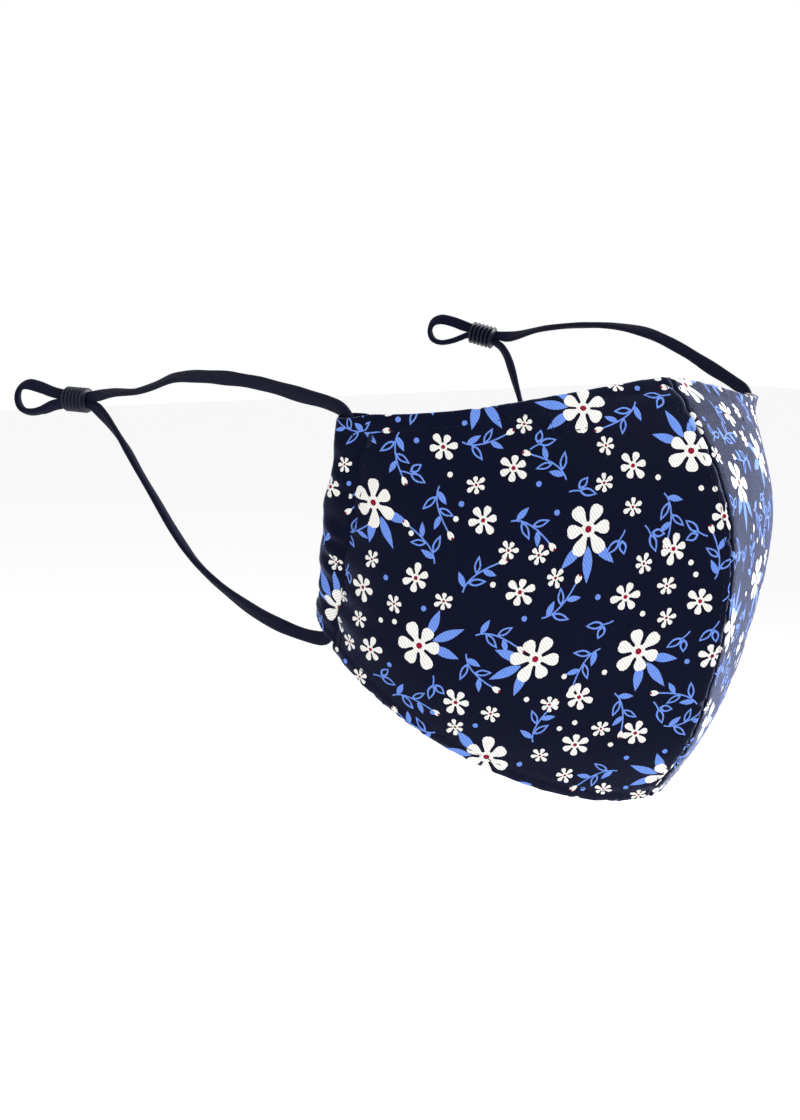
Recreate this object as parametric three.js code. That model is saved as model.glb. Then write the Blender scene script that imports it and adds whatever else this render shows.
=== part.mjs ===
// Contoured cloth face mask in its worn shape, with adjustable elastic ear cords.
// Millimetres. +X is the wearer's left, -Y points away from the face, +Z is up.
// The origin is the middle of the top edge, on the bridge of the nose.
import * as THREE from 'three';

// ---- driving sizes ----
const GAP = 0.3;              // clear gap between neighbouring pieces
const WALL = 1.8;             // two layers of cotton round a thin filter
const PANEL_COLUMNS = 20;     // cells from the centre seam to the side stitching
const PANEL_ROWS = 18;        // cells from the top edge to the bottom hem

const CASING_WIDTH = 9;       // side channel, across the strip
const CASING_DEPTH = 5.6;      // side channel, through the cloth
const CASING_WALL = 0.8;
const CASING_RINGS = 24;      // rings of points along one casing
const CASING_SIDES = 12;      // points round one ring
const GATHER_DEPTH = 0.7;     // how far the gathers swell the outer edge
const GATHER_COUNT = 5;       // gathers along one casing
const MOUTH_SLANT = 5;        // the rear of each mouth is cut back this far
const MOUTH_REACH = 0.22;     // share of the casing that takes up the slant

const CORD_DIAMETER = 2.4;
const CORD_SIDES = 8;
const CORD_STEPS = 60;

const TOGGLE_LENGTH = 10;
const TOGGLE_RIBS = 6;
const RIB_RADIUS = 4.3;      // crest of a rib
const GROOVE_RADIUS = 3.85;  // floor between two ribs
const TOGGLE_SIDES = 20;
const STRAND_OFFSET = 1.4;    // each strand's middle from the toggle's axis
const BORE_CLEARANCE = 0.7;

// ---- shape of one side of the mask, a row for each section from top to bottom ----
// Each section is one curve from the centre seam to the side stitching. Angles are in
// degrees: seamAngle and edgeAngle turn from +X towards +Y, and the rises turn from
// level towards +Z. The reaches say how far the curve keeps each end's direction.
const SECTIONS = [
  { seamY: 0, seamZ: 0, seamAngle: 20, seamRise: -7, seamReach: 27,
    edgeX: 76, edgeY: 38, edgeZ: -10.5, edgeAngle: 48, edgeRise: -1, edgeReach: 30 },
  { seamY: -15, seamZ: -17.5, seamAngle: 26, seamRise: -4, seamReach: 33,
    edgeX: 76, edgeY: 41.5, edgeZ: -22.5, edgeAngle: 63, edgeRise: -1, edgeReach: 35 },
  { seamY: -24.5, seamZ: -38, seamAngle: 30, seamRise: -2, seamReach: 37,
    edgeX: 75.5, edgeY: 45, edgeZ: -34.5, edgeAngle: 75, edgeRise: 2, edgeReach: 38 },
  { seamY: -25, seamZ: -60.5, seamAngle: 33, seamRise: -2, seamReach: 39,
    edgeX: 75, edgeY: 49, edgeZ: -46, edgeAngle: 83, edgeRise: 7, edgeReach: 39 },
  { seamY: -19.5, seamZ: -83.5, seamAngle: 33, seamRise: -4, seamReach: 37,
    edgeX: 74, edgeY: 53, edgeZ: -57.5, edgeAngle: 88, edgeRise: 15, edgeReach: 38 },
  { seamY: -10.5, seamZ: -104.5, seamAngle: 32, seamRise: -8, seamReach: 34,
    edgeX: 73, edgeY: 57.5, edgeZ: -69, edgeAngle: 91, edgeRise: 25, edgeReach: 37 },
  { seamY: 4, seamZ: -122, seamAngle: 30, seamRise: -13, seamReach: 28,
    edgeX: 71.5, edgeY: 62, edgeZ: -79.5, edgeAngle: 90, edgeRise: 36, edgeReach: 35 },
];

// ---- cord toggles: middle, and the direction of the bore away from the mask ----
const TOGGLES = {
  right: { middle: [-86.5, 197.5, -13.3], axis: [-0.34, 0.94, 0.03] },
  left: { middle: [81, 185, 6.2], axis: [-0.48, 0.84, 0.24] },
};

// ---- ear cords: their routes, from the middle of the casing, out of its top
// mouth, round the ear to the toggle, through the end loop and back to the bottom mouth ----
const CORD_ROUTES = {
  right: [
    [-74.8, 53.6, -45], [-76, 49.9, -34.5], [-77.4, 46.2, -22.6], [-78.2, 44.2, -16.5],
    [-78.6, 43.4, -12.4], [-79.3, 45.9, -8.8], [-80.1, 51.5, -7], [-80.9, 63, -5.5],
    [-81.7, 88, -2.8], [-82.2, 115, -2.2], [-82.6, 136, -3.4], [-82.9, 150, -6.8],
    [-83.2, 162, -9], [-83.6, 176, -10], [-84.5, 191.9, -12], [-88.5, 203.3, -11.8],
    [-90.5, 208.6, -11.1], [-92.6, 214.4, -9.6], [-94.8, 220.5, -8.8], [-96, 223.7, -10.2],
    [-96.5, 225, -13.6], [-96, 223.7, -17], [-94.8, 220.5, -18.4], [-92.4, 213.8, -17.6],
    [-90.4, 208.2, -15.6], [-88.5, 203.3, -14.8], [-84.5, 191.9, -14.8], [-83.9, 183.5, -18],
    [-83.1, 171, -26.5], [-82.2, 161.5, -35.5], [-81.4, 152.5, -43.5], [-80.4, 142, -53],
    [-79.2, 130, -61.8], [-77.9, 112, -69.2], [-75.9, 90, -74.9], [-72.8, 73, -77.2],
    [-71.5, 67.4, -76.7], [-71.3, 64.6, -73.7], [-72, 61.8, -66.9], [-74.5, 54.4, -47.6],
  ],
  left: [
    [74.8, 53.6, -45], [76, 49.9, -34.5], [77.4, 46.2, -22.6], [78.2, 44.2, -16.5],
    [78.6, 43.4, -12.4], [79.3, 45.9, -8.8], [80.1, 51.3, -6.3], [81, 62, -2.2],
    [82, 78, 4], [82.5, 94, 8.8], [82.9, 110, 10.9], [83.3, 128, 11.1],
    [84, 152, 9.4], [84.9, 173, 5.9], [84, 179.8, 6.2], [78.4, 189.7, 9],
    [76.9, 192.4, 9.9], [74.6, 196.2, 11.4], [72, 200.6, 12.2], [70.4, 203.4, 10.9],
    [69.8, 204.5, 7.7], [70.4, 203.4, 4.5], [72, 200.6, 3.2], [74.6, 196.2, 3.9],
    [76.6, 192.8, 5.3], [78, 190.3, 6.2], [83.6, 180.5, 3.4], [83.5, 174, -0.4],
    [82.6, 165.2, -15], [82.2, 160, -26], [81.4, 152.5, -38.5], [80.4, 142.5, -51],
    [79, 127, -62.8], [77.4, 108, -70.4], [75.7, 88, -75.2], [72.8, 73, -77.2],
    [71.5, 67.4, -76.7], [71.3, 64.6, -73.7], [72, 61.8, -66.9], [74.5, 54.4, -47.6],
  ],
};

const MATERIALS = {
  cloth: { color: 0x0c1026, roughness: 0.85, metalness: 0 },
  cord: { color: 0x10142c, roughness: 0.8, metalness: 0 },
  toggle: { color: 0x101a2c, roughness: 0.45, metalness: 0 },
};

const toRadians = THREE.MathUtils.degToRad;

// A number of the section table at height v, 0 at the top edge and 1 at the hem, on a
// smooth curve through the rows.
function sectionValue(column, v) {
  const last = SECTIONS.length - 1;
  const place = THREE.MathUtils.clamp(v, 0, 1) * last;
  const row = Math.min(Math.floor(place), last - 1);
  const t = place - row;
  const value = (index) => SECTIONS[index][column];
  const here = value(row);
  const next = value(row + 1);
  const slopeHere = row > 0 ? (next - value(row - 1)) / 2 : next - here;
  const slopeNext = row < last - 1 ? (value(row + 2) - here) / 2 : next - here;
  const cubic = 2 * (here - next) + slopeHere + slopeNext;
  const square = 3 * (next - here) - 2 * slopeHere - slopeNext;
  return ((cubic * t + square) * t + slopeHere) * t + here;
}

function direction(angle, rise) {
  const turn = toRadians(angle);
  const lift = toRadians(rise);
  return new THREE.Vector3(Math.cos(turn) * Math.cos(lift), Math.sin(turn) * Math.cos(lift), Math.sin(lift));
}

// The section at height v, as a curve from the seam to the side stitching.
function sectionCurve(v) {
  const at = (column) => sectionValue(column, v);
  const seam = new THREE.Vector3(0, at('seamY'), at('seamZ'));
  const edge = new THREE.Vector3(at('edgeX'), at('edgeY'), at('edgeZ'));
  const leaving = direction(at('seamAngle'), at('seamRise'));
  const arriving = direction(at('edgeAngle'), at('edgeRise'));
  return new THREE.CubicBezierCurve3(
    seam,
    seam.clone().addScaledVector(leaving, at('seamReach')),
    edge.clone().addScaledVector(arriving, -at('edgeReach')),
    edge,
  );
}

function outerPoint(u, v) {
  return sectionCurve(v).getPoint(u);
}

// The normal out of the cloth, away from the face.
function outerNormal(u, v) {
  const step = 0.01;
  const across = outerPoint(Math.min(u + step, 1), v).sub(outerPoint(Math.max(u - step, 0), v));
  const down = outerPoint(u, Math.min(v + step, 1)).sub(outerPoint(u, Math.max(v - step, 0)));
  return down.cross(across).normalize();
}

// The cloth's inner side lies one wall behind the outer side. At the seam the two
// panels meet on the middle plane, so the step back stays in that plane.
function innerPoint(u, v) {
  const back = outerNormal(u, v);
  if (u === 0) {
    back.x = 0;
    back.divideScalar(back.lengthSq());
  }
  return outerPoint(u, v).addScaledVector(back, -WALL);
}

// A closed solid between two grids of points of the same size. wrapped grids close on
// themselves along their columns, as a tube does.
function solidBetween(outer, inner, wrapped, mirrored) {
  const rows = outer.length;
  const columns = outer[0].length;
  const positions = [...outer.flat(), ...inner.flat()].flatMap((p) => [mirrored ? -p.x : p.x, p.y, p.z]);
  const top = (row, column) => row * columns + (column % columns);
  const bottom = (row, column) => rows * columns + top(row, column);
  const faces = [];
  const quad = (a, b, c, d) => {
    const corners = mirrored ? [a, c, b, a, d, c] : [a, b, c, a, c, d];
    faces.push(...corners);
  };
  const cells = wrapped ? columns : columns - 1;
  for (let row = 0; row < rows - 1; row += 1) {
    for (let column = 0; column < cells; column += 1) {
      quad(top(row, column), top(row + 1, column), top(row + 1, column + 1), top(row, column + 1));
      quad(bottom(row, column), bottom(row, column + 1), bottom(row + 1, column + 1), bottom(row + 1, column));
    }
  }
  for (let column = 0; column < cells; column += 1) {
    quad(top(0, column), top(0, column + 1), bottom(0, column + 1), bottom(0, column));
    quad(top(rows - 1, column), bottom(rows - 1, column), bottom(rows - 1, column + 1), top(rows - 1, column + 1));
  }
  if (!wrapped) {
    for (let row = 0; row < rows - 1; row += 1) {
      quad(top(row, 0), bottom(row, 0), bottom(row + 1, 0), top(row + 1, 0));
      quad(top(row, cells), top(row + 1, cells), bottom(row + 1, cells), bottom(row, cells));
    }
  }
  const geometry = new THREE.BufferGeometry();
  geometry.setAttribute('position', new THREE.Float32BufferAttribute(positions, 3));
  geometry.setIndex(faces);
  geometry.computeVertexNormals();
  return geometry;
}

function grid(rows, columns, point) {
  return Array.from({ length: rows }, (_, row) => (
    Array.from({ length: columns }, (__, column) => point(row, column))));
}

function panelGeometry(mirrored) {
  const seamShift = new THREE.Vector3(GAP / 2, 0, 0);
  const side = (surface) => grid(PANEL_ROWS + 1, PANEL_COLUMNS + 1, (row, column) => (
    surface(column / PANEL_COLUMNS, row / PANEL_ROWS).add(seamShift)));
  return solidBetween(side(outerPoint), side(innerPoint), false, mirrored);
}

// The casing's middle at height v, and the directions across its strip and through it.
function casingFrame(v) {
  const step = 0.02;
  const middle = (height) => {
    const outward = direction(sectionValue('edgeAngle', height), sectionValue('edgeRise', height));
    return outerPoint(1, height)
      .addScaledVector(outward, CASING_WIDTH / 2 + GAP)
      .addScaledVector(outerNormal(1, height), -WALL / 2)
      .add(new THREE.Vector3(GAP / 2, 0, 0));
  };
  const down = middle(Math.min(v + step, 1)).sub(middle(Math.max(v - step, 0))).normalize();
  const across = direction(sectionValue('edgeAngle', v), sectionValue('edgeRise', v));
  across.addScaledVector(down, -across.dot(down)).normalize();
  const through = across.clone().cross(down).normalize();
  return { middle: middle(v), down, across, through };
}

function casingGeometry(mirrored) {
  const ring = (inset) => grid(CASING_RINGS + 1, CASING_SIDES, (row, column) => {
    const v = row / CASING_RINGS;
    const frame = casingFrame(v);
    const angle = (column / CASING_SIDES) * 2 * Math.PI;
    const rear = (1 + Math.cos(angle)) / 2;
    const gather = GATHER_DEPTH * rear * Math.sin(v * GATHER_COUNT * 2 * Math.PI) * Math.sin(v * Math.PI);
    const topSlant = Math.max(0, 1 - v / MOUTH_REACH);
    const bottomSlant = Math.max(0, 1 - (1 - v) / MOUTH_REACH);
    return frame.middle
      .addScaledVector(frame.across, Math.cos(angle) * (CASING_WIDTH / 2 + gather - inset))
      .addScaledVector(frame.through, Math.sin(angle) * (CASING_DEPTH / 2 - inset))
      .addScaledVector(frame.down, rear * MOUTH_SLANT * (topSlant - bottomSlant));
  });
  return solidBetween(ring(0), ring(CASING_WALL), true, mirrored);
}

function cordGeometry(route) {
  const section = new THREE.Shape(Array.from({ length: CORD_SIDES }, (_, index) => {
    const angle = (index / CORD_SIDES) * 2 * Math.PI;
    const radius = CORD_DIAMETER / 2;
    return new THREE.Vector2(radius * Math.cos(angle), radius * Math.sin(angle));
  }));
  const extrudePath = new THREE.CatmullRomCurve3(route.map((point) => new THREE.Vector3(...point)));
  return new THREE.ExtrudeGeometry(section, { extrudePath, steps: CORD_STEPS });
}

// A ribbed barrel along +Z, with an oval bore whose long axis is +Y.
function toggleGeometry() {
  const rows = 2 * TOGGLE_RIBS;
  const height = (row) => (0.5 - row / rows) * TOGGLE_LENGTH;
  const ring = (radiusX, radiusY) => grid(rows + 1, TOGGLE_SIDES, (row, column) => {
    const angle = (column / TOGGLE_SIDES) * 2 * Math.PI;
    return new THREE.Vector3(radiusX(row) * Math.cos(angle), radiusY(row) * Math.sin(angle), height(row));
  });
  const outerRadius = (row) => (row % 2 === 1 ? RIB_RADIUS : GROOVE_RADIUS);
  const boreHalfWidth = CORD_DIAMETER / 2 + BORE_CLEARANCE;
  const boreHalfHeight = boreHalfWidth + STRAND_OFFSET;
  const inner = ring(() => boreHalfWidth, () => boreHalfHeight);
  return solidBetween(ring(outerRadius, outerRadius), inner, true, false);
}

function named(name, geometry, material) {
  const mesh = new THREE.Mesh(geometry, new THREE.MeshStandardMaterial(material));
  mesh.name = name;
  return mesh;
}

function toggle(side) {
  const mesh = named(`cord_toggle_${side}`, toggleGeometry(), MATERIALS.toggle);
  const axis = new THREE.Vector3(...TOGGLES[side].axis).normalize();
  const sideways = new THREE.Vector3(0, 0, 1).cross(axis).normalize();
  const upwards = axis.clone().cross(sideways);
  mesh.position.set(...TOGGLES[side].middle);
  mesh.quaternion.setFromRotationMatrix(new THREE.Matrix4().makeBasis(sideways, upwards, axis));
  return mesh;
}

const mask = new THREE.Group();
for (const side of ['right', 'left']) {
  const mirrored = side === 'right';
  mask.add(named(`panel_${side}`, panelGeometry(mirrored), MATERIALS.cloth));
  mask.add(named(`side_casing_${side}`, casingGeometry(mirrored), MATERIALS.cloth));
  mask.add(named(`ear_cord_${side}`, cordGeometry(CORD_ROUTES[side]), MATERIALS.cord));
  mask.add(toggle(side));
}

export default mask;
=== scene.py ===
"""Contoured cloth face mask with a small floral print, built around its CAD frame."""
import math
import random

import bpy
import numpy as np
from mathutils import Matrix, Vector, geometry, kdtree


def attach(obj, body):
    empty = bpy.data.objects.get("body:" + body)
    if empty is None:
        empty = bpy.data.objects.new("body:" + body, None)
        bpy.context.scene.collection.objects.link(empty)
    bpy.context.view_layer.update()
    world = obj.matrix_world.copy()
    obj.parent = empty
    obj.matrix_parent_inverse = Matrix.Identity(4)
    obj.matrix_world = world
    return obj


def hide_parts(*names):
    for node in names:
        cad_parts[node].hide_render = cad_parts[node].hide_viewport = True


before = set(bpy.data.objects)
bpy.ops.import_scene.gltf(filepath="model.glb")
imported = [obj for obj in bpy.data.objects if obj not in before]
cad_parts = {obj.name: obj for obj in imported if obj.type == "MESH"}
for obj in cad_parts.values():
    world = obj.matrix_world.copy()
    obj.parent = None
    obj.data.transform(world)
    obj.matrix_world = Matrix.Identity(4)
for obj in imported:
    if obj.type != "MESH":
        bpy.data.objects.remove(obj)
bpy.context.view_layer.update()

MM = 0.001

# ---- the mask's shape: one row for each section, top to bottom, in mm and degrees ----
# seam y, z, angle, rise, reach, then side-stitching x, y, z, angle, rise, reach
SECTIONS = np.array([
    (0, 0, 20, -7, 27, 76, 38, -10.5, 48, -1, 30),
    (-15, -17.5, 26, -4, 33, 76, 41.5, -22.5, 63, -1, 35),
    (-24.5, -38, 30, -2, 37, 75.5, 45, -34.5, 75, 2, 38),
    (-25, -60.5, 33, -2, 39, 75, 49, -46, 83, 7, 39),
    (-19.5, -83.5, 33, -4, 37, 74, 53, -57.5, 88, 15, 38),
    (-10.5, -104.5, 32, -8, 34, 73, 57.5, -69, 91, 25, 37),
    (4, -122, 30, -13, 28, 71.5, 62, -79.5, 90, 36, 35),
])
WALL = 1.8                # thickness of the sewn layers, mm
LIP = WALL / 2            # radius of the turned edges, mm
SEAM_GAP = 0.15           # each panel's distance from the middle plane, mm
SEAM_OVERLAP = 0.05       # the folded edges are sewn together and press this far into each other, mm
FLATTEN_STEPS = 900       # rounds of evening out when the cloth is laid flat
LINING_DEPTH = 1.7        # lining behind the outer cloth, mm

CASING_WIDTH = 9.0        # mm
CASING_THICKNESS = 4.6    # mm, over the cord
CASING_FULLNESS = 3.6     # mm of loose cloth behind the cord, from a third of the way down
CASING_LIFT = 1.8         # mm that the casing's top stands above the CAD's
MOUTH_SLANT = 5.0         # mm that the rear of each mouth is cut back
MOUTH_REACH = 0.22        # share of the casing that takes up the slant

CORD_WIDTH = 4.2 * MM
CORD_THICKNESS = 2.1 * MM

TOGGLE_LENGTH = 10 * MM
TOGGLE_RIBS = 6
TOGGLES = {
    "right": ((-0.0865, 0.1975, -0.0133), (-0.34, 0.94, 0.03)),
    "left": ((0.081, 0.185, 0.0062), (-0.48, 0.84, 0.24)),
}

# ---- ear cords, in metres: the CAD's routes ----
CORD_ROUTES = {
    "right": [
        (-0.0748, 0.0536, -0.045), (-0.076, 0.0499, -0.0345), (-0.0774, 0.0462, -0.0226),
        (-0.0782, 0.0442, -0.0165), (-0.0786, 0.0434, -0.0124), (-0.0793, 0.0459, -0.0088),
        (-0.0801, 0.0515, -0.007), (-0.0809, 0.063, -0.0055), (-0.0817, 0.088, -0.0028),
        (-0.0822, 0.115, -0.0022), (-0.0826, 0.136, -0.0034), (-0.0829, 0.15, -0.0068),
        (-0.0832, 0.162, -0.009), (-0.0836, 0.176, -0.01), (-0.0845, 0.1919, -0.012),
        (-0.0885, 0.2033, -0.0118), (-0.0905, 0.2086, -0.0111), (-0.0926, 0.2144, -0.0096),
        (-0.0948, 0.2205, -0.0088), (-0.096, 0.2237, -0.0102), (-0.0965, 0.225, -0.0136),
        (-0.096, 0.2237, -0.017), (-0.0948, 0.2205, -0.0184), (-0.0924, 0.2138, -0.0176),
        (-0.0904, 0.2082, -0.0156), (-0.0885, 0.2033, -0.0148), (-0.0845, 0.1919, -0.0148),
        (-0.0839, 0.1835, -0.018), (-0.0831, 0.171, -0.0265), (-0.0822, 0.1615, -0.0355),
        (-0.0814, 0.1525, -0.0435), (-0.0804, 0.142, -0.053), (-0.0792, 0.13, -0.0618),
        (-0.0779, 0.112, -0.0692), (-0.0759, 0.09, -0.0749), (-0.0728, 0.073, -0.0772),
        (-0.0715, 0.0674, -0.0767), (-0.0713, 0.0646, -0.0737), (-0.072, 0.0618, -0.0669),
        (-0.0745, 0.0544, -0.0476),
    ],
    "left": [
        (0.0748, 0.0536, -0.045), (0.076, 0.0499, -0.0345), (0.0774, 0.0462, -0.0226),
        (0.0782, 0.0442, -0.0165), (0.0786, 0.0434, -0.0124), (0.0793, 0.0459, -0.0088),
        (0.0801, 0.0513, -0.0063), (0.081, 0.062, -0.0022), (0.082, 0.078, 0.004),
        (0.0825, 0.094, 0.0088), (0.0829, 0.11, 0.0109), (0.0833, 0.128, 0.0111),
        (0.084, 0.152, 0.0094), (0.0849, 0.173, 0.0059), (0.084, 0.1798, 0.0062),
        (0.0784, 0.1897, 0.009), (0.0769, 0.1924, 0.0099), (0.0746, 0.1962, 0.0114),
        (0.072, 0.2006, 0.0122), (0.0704, 0.2034, 0.0109), (0.0698, 0.2045, 0.0077),
        (0.0704, 0.2034, 0.0045), (0.072, 0.2006, 0.0032), (0.0746, 0.1962, 0.0039),
        (0.0766, 0.1928, 0.0053), (0.078, 0.1903, 0.0062), (0.0836, 0.1805, 0.0034),
        (0.0835, 0.174, -0.0004), (0.0826, 0.1652, -0.015), (0.0822, 0.16, -0.026),
        (0.0814, 0.1525, -0.0385), (0.0804, 0.1425, -0.051), (0.079, 0.127, -0.0628),
        (0.0774, 0.108, -0.0704), (0.0757, 0.088, -0.0752), (0.0728, 0.073, -0.0772),
        (0.0715, 0.0674, -0.0767), (0.0713, 0.0646, -0.0737), (0.072, 0.0618, -0.0669),
        (0.0745, 0.0544, -0.0476),
    ],
}
CORD_STEPS = 520
CORD_SIDES = 16

# ---- the print: a small floral repeat, laid out by a seeded rule on the flat cloth, in mm ----
REPEAT = (120, 130)
NAVY, WHITE, BLUE, RED = 0, 1, 2, 3
PRINT_COLOURS = [
    (0.0030, 0.0040, 0.0150, 1), (0.69, 0.68, 0.65, 1), (0.120, 0.225, 0.62, 1), (0.21, 0.007, 0.026, 1),
]
PRINT_SEED = 4
CANDIDATES = 90           # spots tried for each motif; the roomiest is kept
FAN_DISTANCE = 8.5        # from a large flower's middle to the middle of its leaves
FAN_ROOM = 5.0
# flower kind: radius, petal width and eye radius
FLOWER_SIZES = {"large": (7.3, 3.6, 0.95), "medium": (4.4, 2.0, 0.62), "small": (2.9, 1.3, 0.42)}
# side, hand, then the print's shift on the panel and on the casing
SIDES = (("right", -1, (0, 0), (-40, -2)), ("left", 1, (14, -50), (-60, 2)))
# kind, how many in one repeat, and the room each takes up round its middle
MOTIF_KINDS = [
    ("large", 12, 7.3), ("medium", 20, 4.4), ("sprig", 34, 5.0), ("small", 30, 2.9),
    ("outline", 20, 3.4), ("dot", 56, 0.9),
]


# ------------------------------------------------------------------ camera, light, floor
def look_from(location, forward):
    rotation = Vector(forward).to_track_quat("-Z", "Y")
    return Matrix.Translation(location) @ rotation.to_matrix().to_4x4()


def add_camera():
    data = bpy.data.cameras.new("camera")
    data.sensor_fit = "VERTICAL"
    data.sensor_height = 36
    data.lens = 55.28
    camera = bpy.data.objects.new("camera", data)
    camera.matrix_world = look_from((-0.34455, -0.34555, 0.02464), (0.58055, 0.79906, -0.15643))
    bpy.context.collection.objects.link(camera)
    bpy.context.scene.camera = camera


def add_area_light(name, location, target, size, power, colour=(1, 1, 1)):
    data = bpy.data.lights.new(name, "AREA")
    data.shape = "DISK"
    data.size = size
    data.energy = power
    data.color = colour
    light = bpy.data.objects.new(name, data)
    light.matrix_world = look_from(location, Vector(target) - Vector(location))
    bpy.context.collection.objects.link(light)


def add_studio():
    add_area_light("key_light", (-0.9, -0.9, 1.0), (0, 0.03, -0.06), 0.9, 7)
    add_area_light("fill_light", (-0.5, -1.3, -0.1), (0, 0.03, -0.06), 1.2, 3)
    add_area_light("rim_light", (1.0, -0.25, 0.30), (0.03, 0.0, -0.06), 0.7, 26)
    world = bpy.data.worlds.new("studio")
    world.use_nodes = True
    background = world.node_tree.nodes["Background"]
    background.inputs["Color"].default_value = (1, 1, 1, 1)
    background.inputs["Strength"].default_value = 1.0
    bpy.context.scene.world = world
    bpy.ops.mesh.primitive_plane_add(size=12, location=(0, 0, -0.45))
    floor = bpy.context.object
    floor.name = "floor"
    floor.data.materials.append(principled("floor_paper", (0.93, 0.93, 0.93, 1), 0.9))


# ------------------------------------------------------------------ materials
def principled(name, colour, roughness, **sockets):
    material = bpy.data.materials.new(name)
    material.use_nodes = True
    shader = material.node_tree.nodes["Principled BSDF"]
    shader.inputs["Base Color"].default_value = colour
    shader.inputs["Roughness"].default_value = roughness
    for socket, value in sockets.items():
        shader.inputs[socket.replace("_", " ")].default_value = value
    return material


class Nodes:
    """A short way to write a material's node tree."""

    def __init__(self, material):
        self.tree = material.node_tree
        self.shader = self.tree.nodes["Principled BSDF"]

    def add(self, kind, **settings):
        node = self.tree.nodes.new(kind)
        for key, value in settings.items():
            setattr(node, key, value)
        return node

    def link(self, source, target):
        self.tree.links.new(source, target)

    def math(self, operation, first, second=None):
        node = self.add("ShaderNodeMath", operation=operation)
        for socket, value in zip(node.inputs, (first, second)):
            if value is None:
                continue
            if isinstance(value, (int, float)):
                socket.default_value = value
            else:
                self.link(value, socket)
        return node.outputs[0]

    def noise(self, vector, scale, detail=2.0):
        node = self.add("ShaderNodeTexNoise")
        node.inputs["Scale"].default_value = scale
        node.inputs["Detail"].default_value = detail
        self.link(vector, node.inputs["Vector"])
        return node.outputs["Fac"]

    def mix(self, factor, first, second, blend="MIX"):
        node = self.add("ShaderNodeMix", data_type="RGBA", blend_type=blend)
        for socket, value in zip((node.inputs[0], node.inputs[6], node.inputs[7]), (factor, first, second)):
            if isinstance(value, (int, float, tuple)):
                socket.default_value = value
            else:
                self.link(value, socket)
        return node.outputs[2]

    def bump(self, height, strength, distance):
        node = self.add("ShaderNodeBump")
        node.inputs["Strength"].default_value = strength
        node.inputs["Distance"].default_value = distance
        self.link(height, node.inputs["Height"])
        self.link(node.outputs["Normal"], self.shader.inputs["Normal"])


def weave_height(nodes, pitch):
    """Fine twill: threads both ways and a diagonal rib, from the cloth's own flat coordinates."""
    uv = nodes.add("ShaderNodeUVMap").outputs["UV"]
    split = nodes.add("ShaderNodeSeparateXYZ")
    nodes.link(uv, split.inputs[0])
    turn = 2 * math.pi / pitch
    x = nodes.math("MULTIPLY", split.outputs["X"], turn)
    y = nodes.math("MULTIPLY", split.outputs["Y"], turn)
    warp = nodes.math("ABSOLUTE", nodes.math("SINE", x))
    weft = nodes.math("ABSOLUTE", nodes.math("SINE", y))
    diagonal = nodes.math("SINE", nodes.math("MULTIPLY", nodes.math("ADD", x, y), 0.5))
    threads = nodes.math("MULTIPLY", nodes.math("ADD", warp, weft), 0.35)
    height = nodes.math("ADD", threads, nodes.math("MULTIPLY", diagonal, 0.55))
    return uv, height


def cotton(name, printed, colour):
    material = principled(name, colour, 0.86)
    nodes = Nodes(material)
    nodes.shader.inputs["Specular IOR Level"].default_value = 0.04
    nodes.shader.inputs["Sheen Weight"].default_value = 0.5
    nodes.shader.inputs["Sheen Roughness"].default_value = 0.28
    nodes.shader.inputs["Sheen Tint"].default_value = (0.55, 0.62, 1.0, 1)
    uv, height = weave_height(nodes, 0.55)
    if printed:
        base = nodes.add("ShaderNodeVertexColor", layer_name="print").outputs["Color"]
    else:
        base = colour
    blotch = nodes.noise(uv, 0.35, 4)
    slub = nodes.noise(uv, 3.0, 3)
    # painted shade: the weave's height darkens the colour in the thread valleys; slub and blotch add uneven
    # yarn tone
    weave_shade_and_yarn_tone = nodes.math("ADD", nodes.math("MULTIPLY", height, 0.34), nodes.math("MULTIPLY", slub, 0.24))
    weave_shade_and_yarn_tone = nodes.math("ADD", nodes.math("ADD", weave_shade_and_yarn_tone, nodes.math("MULTIPLY", blotch, 0.12)), 0.62)
    weave_shade_and_yarn_tint = nodes.add("ShaderNodeCombineColor")
    for channel in weave_shade_and_yarn_tint.inputs:
        nodes.link(weave_shade_and_yarn_tone, channel)
    nodes.link(nodes.mix(1.0, base, weave_shade_and_yarn_tint.outputs[0], "MULTIPLY"), nodes.shader.inputs["Base Color"])
    rough = nodes.math("ADD", nodes.math("MULTIPLY", slub, 0.12), 0.78)
    nodes.link(rough, nodes.shader.inputs["Roughness"])
    nodes.bump(height, 0.55, 0.00012)
    return material


def elastic():
    material = principled("knitted_elastic", (0.012, 0.016, 0.05, 1), 0.8)
    nodes = Nodes(material)
    nodes.shader.inputs["Sheen Weight"].default_value = 0.02
    nodes.shader.inputs["Sheen Roughness"].default_value = 0.4
    nodes.shader.inputs["Specular IOR Level"].default_value = 0.06
    uv = nodes.add("ShaderNodeUVMap").outputs["UV"]
    split = nodes.add("ShaderNodeSeparateXYZ")
    nodes.link(uv, split.inputs[0])
    ribs = nodes.math("SINE", nodes.math("MULTIPLY", split.outputs["X"], 2 * math.pi / 0.55))
    zigzag = nodes.math("MULTIPLY", nodes.math("PINGPONG", split.outputs["X"], 0.55), 1.4)
    along = nodes.math("ADD", split.outputs["Y"], zigzag)
    stitch = nodes.math("SINE", nodes.math("MULTIPLY", along, 2 * math.pi / 0.5))
    height = nodes.math("ADD", nodes.math("MULTIPLY", ribs, 0.5), nodes.math("MULTIPLY", stitch, 0.5))
    fuzz = nodes.noise(uv, 2.2, 4)
    # mostly uneven yarn tone from the fuzz noise, plus a little painted shade: the knit's height darkens its
    # valleys
    blend = nodes.math("ADD", nodes.math("MULTIPLY", height, 0.16), nodes.math("MULTIPLY", fuzz, 0.8))
    colour = nodes.mix(blend, (0.0015, 0.002, 0.008, 1), (0.006, 0.008, 0.028, 1))
    nodes.link(colour, nodes.shader.inputs["Base Color"])
    nodes.bump(height, 0.6, 0.00018)
    return material


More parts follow.
